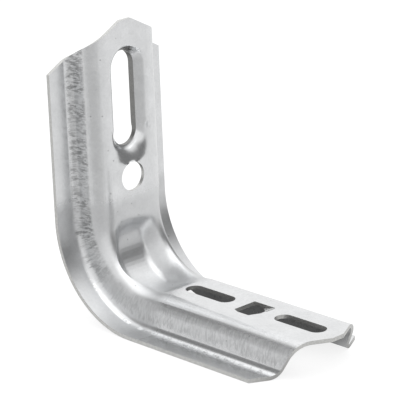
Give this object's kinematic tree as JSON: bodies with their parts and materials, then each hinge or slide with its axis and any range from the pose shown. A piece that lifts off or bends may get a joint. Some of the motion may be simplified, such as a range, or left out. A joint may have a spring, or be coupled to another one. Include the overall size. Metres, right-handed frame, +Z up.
{
  "type": "cable tray bracket",
  "caption": "L-shaped wall bracket pressed from galvanised steel sheet to a hat section, with a slotted arm that carries a cable tray.",
  "frame": {"origin": "on the axis of the round wall hole, at the visible face of the crest", "axes": "+X away from the wall along the arm, +Z up, +Y across the section; the wall plane is x = -14.0 mm and the tray seat is z = -36.9 mm"},
  "size_m": [0.1165, 0.054, 0.1105],
  "materials": {
    "galvanised_steel": "galvanised, satin"
  },
  "bodies": {
    "root": {"bracket": "galvanised_steel"}
  },
  "joints": []
}
